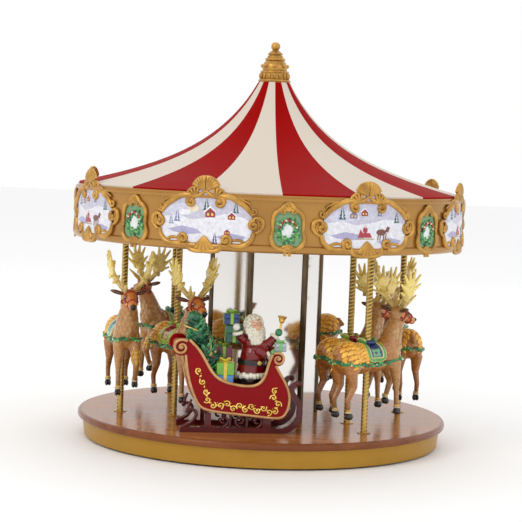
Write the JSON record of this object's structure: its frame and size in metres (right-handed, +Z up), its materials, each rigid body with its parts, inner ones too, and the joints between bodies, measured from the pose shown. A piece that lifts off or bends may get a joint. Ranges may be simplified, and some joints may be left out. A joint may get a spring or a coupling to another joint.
{
  "type": "carousel music box",
  "caption": "Turning carousel music box with a mirrored column, striped canopy, sleigh and reindeer that rise and fall on twisted poles.",
  "frame": {"origin": "centre of the footprint, on the surface that the feet stand on", "axes": "+Z up along the spindle, -Y towards the front with the sleigh, +X to the viewer's right"},
  "size_m": [0.3218, 0.3218, 0.3238],
  "materials": {
    "skirt_gold": "satin gold paint",
    "black_plastic": "fine texture",
    "rubber": "matte",
    "steel": "turned",
    "white_nylon": "moulded",
    "speaker_paper": "pressed cone",
    "circuit_board": "lacquered",
    "copper_bands": "polished",
    "deck_wood": "high gloss wood grain lacquer",
    "deck_edge_wood": "high gloss lacquer",
    "pole_brass": "antiqued",
    "post_bronze": "satin bronze",
    "column_mirror": "silvered",
    "ceiling_cream": "satin",
    "tent_stripes": "satin red and cream stripes",
    "rim_gold": "antique gold paint",
    "painted_scene": "painted winter scenes",
    "lamp_lens": "frosted lens",
    "sleigh_red": "high gloss red with gilt trim",
    "runner_maroon": "high gloss",
    "driver_paint": "hand painted gloss",
    "bell_gold": "polished",
    "gift_paint": "glossy wrapping",
    "sack_green": "high gloss green",
    "reindeer_paint": "hand painted gloss"
  },
  "bodies": {
    "base": {"base_skirt": "skirt_gold", "bottom_plate": "black_plastic", "rubber_feet": "rubber", "bottom_screws": "steel", "outer_cam_track": "white_nylon", "inner_cam_track": "white_nylon", "center_post": "steel", "thrust_bearing": "steel", "retaining_collar": "steel", "slip_ring": "copper_bands", "idler_pin": "steel", "motor": "steel", "speaker": "speaker_paper", "sound_board": "circuit_board", "control_board": "black_plastic", "dc_inlet": "black_plastic"},
    "carousel": {"platform": "deck_wood", "deck_edge": "deck_edge_wood", "hub_gear": "white_nylon", "lower_bushing": "white_nylon", "upper_bushing": "white_nylon", "pole_bushes": "pole_brass", "column_posts": "post_bronze", "column_mirrors": "column_mirror", "canopy_ceiling": "ceiling_cream", "canopy_rim": "rim_gold", "canopy_tent": "tent_stripes", "finial": "rim_gold", "large_cartouches": "rim_gold", "wreath_cartouches": "rim_gold", "painted_panels": "painted_scene", "canopy_lights": "lamp_lens", "brush_block": "black_plastic", "sleigh_body": "sleigh_red", "sleigh_runners": "runner_maroon", "sleigh_driver": "driver_paint", "hand_bell": "bell_gold", "gift_boxes": "gift_paint", "gift_sack": "sack_green"},
    "idler": {"idler_gear": "white_nylon"},
    "pinion": {"drive_pinion": "white_nylon"},
    "power_key": {"power_button": "black_plastic"},
    "music_key": {"music_button": "black_plastic"},
    "volume": {"volume_knob": "black_plastic"},
    "rider_outer_1": {"pole_outer_1": "pole_brass", "reindeer_outer_1": "reindeer_paint"},
    "rider_outer_2": {"pole_outer_2": "pole_brass", "reindeer_outer_2": "reindeer_paint"},
    "rider_outer_3": {"pole_outer_3": "pole_brass", "reindeer_outer_3": "reindeer_paint"},
    "rider_outer_4": {"pole_outer_4": "pole_brass", "reindeer_outer_4": "reindeer_paint"},
    "rider_outer_5": {"pole_outer_5": "pole_brass", "reindeer_outer_5": "reindeer_paint"},
    "rider_inner_1": {"pole_inner_1": "pole_brass", "reindeer_inner_1": "reindeer_paint"},
    "rider_inner_2": {"pole_inner_2": "pole_brass", "reindeer_inner_2": "reindeer_paint"},
    "rider_inner_3": {"pole_inner_3": "pole_brass", "reindeer_inner_3": "reindeer_paint"}
  },
  "joints": [
    {"name": "carousel_spin", "type": "hinge", "parent": "base", "child": "carousel", "pos_m": [0, 0, 0.02], "axis": [0, 0, 1], "continuous": true},
    {"name": "idler_spin", "type": "hinge", "parent": "base", "child": "idler", "pos_m": [-0.04229, -0.01539, 0.0145], "axis": [0, 0, 1], "continuous": true},
    {"name": "pinion_spin", "type": "hinge", "parent": "base", "child": "pinion", "pos_m": [-0.03545, -0.03419, 0.0145], "axis": [0, 0, 1], "continuous": true},
    {"name": "power_press", "type": "slide", "parent": "base", "child": "power_key", "axis": [-0.2079, -0.9781, 0], "range_m": [0, 0.001], "stiffness_N_per_m": 400, "springref_m": -0.0005},
    {"name": "music_press", "type": "slide", "parent": "base", "child": "music_key", "axis": [-0.1045, -0.9945, 0], "range_m": [0, 0.001], "stiffness_N_per_m": 400, "springref_m": -0.0005},
    {"name": "volume_turn", "type": "hinge", "parent": "base", "child": "volume", "pos_m": [0, 0.146, 0.00875], "axis": [0, 1, 0], "range_deg": [-135, 135]},
    {"name": "lift_outer_1", "type": "slide", "parent": "carousel", "child": "rider_outer_1", "axis": [0, 0, 1], "range_m": [-0.0049, 0.0025]},
    {"name": "lift_outer_2", "type": "slide", "parent": "carousel", "child": "rider_outer_2", "axis": [0, 0, 1], "range_m": [-0.0049, 0.0025]},
    {"name": "lift_outer_3", "type": "slide", "parent": "carousel", "child": "rider_outer_3", "axis": [0, 0, 1], "range_m": [-0.0025, 0.0049]},
    {"name": "lift_outer_4", "type": "slide", "parent": "carousel", "child": "rider_outer_4", "axis": [0, 0, 1], "range_m": [-0.0049, 0.0025]},
    {"name": "lift_outer_5", "type": "slide", "parent": "carousel", "child": "rider_outer_5", "axis": [0, 0, 1], "range_m": [-0.0025, 0.0049]},
    {"name": "lift_inner_1", "type": "slide", "parent": "carousel", "child": "rider_inner_1", "axis": [0, 0, 1], "range_m": [-0.0025, 0.0049]},
    {"name": "lift_inner_2", "type": "slide", "parent": "carousel", "child": "rider_inner_2", "axis": [0, 0, 1], "range_m": [-0.0025, 0.0049]},
    {"name": "lift_inner_3", "type": "slide", "parent": "carousel", "child": "rider_inner_3", "axis": [0, 0, 1], "range_m": [-0.0025, 0.0049]}
  ],
  "couplings": [
    {"joint": "idler_spin", "follows": "carousel_spin", "ratio": -2},
    {"joint": "pinion_spin", "follows": "carousel_spin", "ratio": 6},
    {"joint": "lift_outer_2", "follows": "lift_outer_1", "ratio": 1},
    {"joint": "lift_outer_3", "follows": "lift_outer_1", "ratio": -1},
    {"joint": "lift_outer_4", "follows": "lift_outer_1", "ratio": 1},
    {"joint": "lift_outer_5", "follows": "lift_outer_1", "ratio": -1},
    {"joint": "lift_inner_1", "follows": "lift_outer_1", "ratio": -1},
    {"joint": "lift_inner_2", "follows": "lift_outer_1", "ratio": -1},
    {"joint": "lift_inner_3", "follows": "lift_outer_1", "ratio": -1}
  ]
}
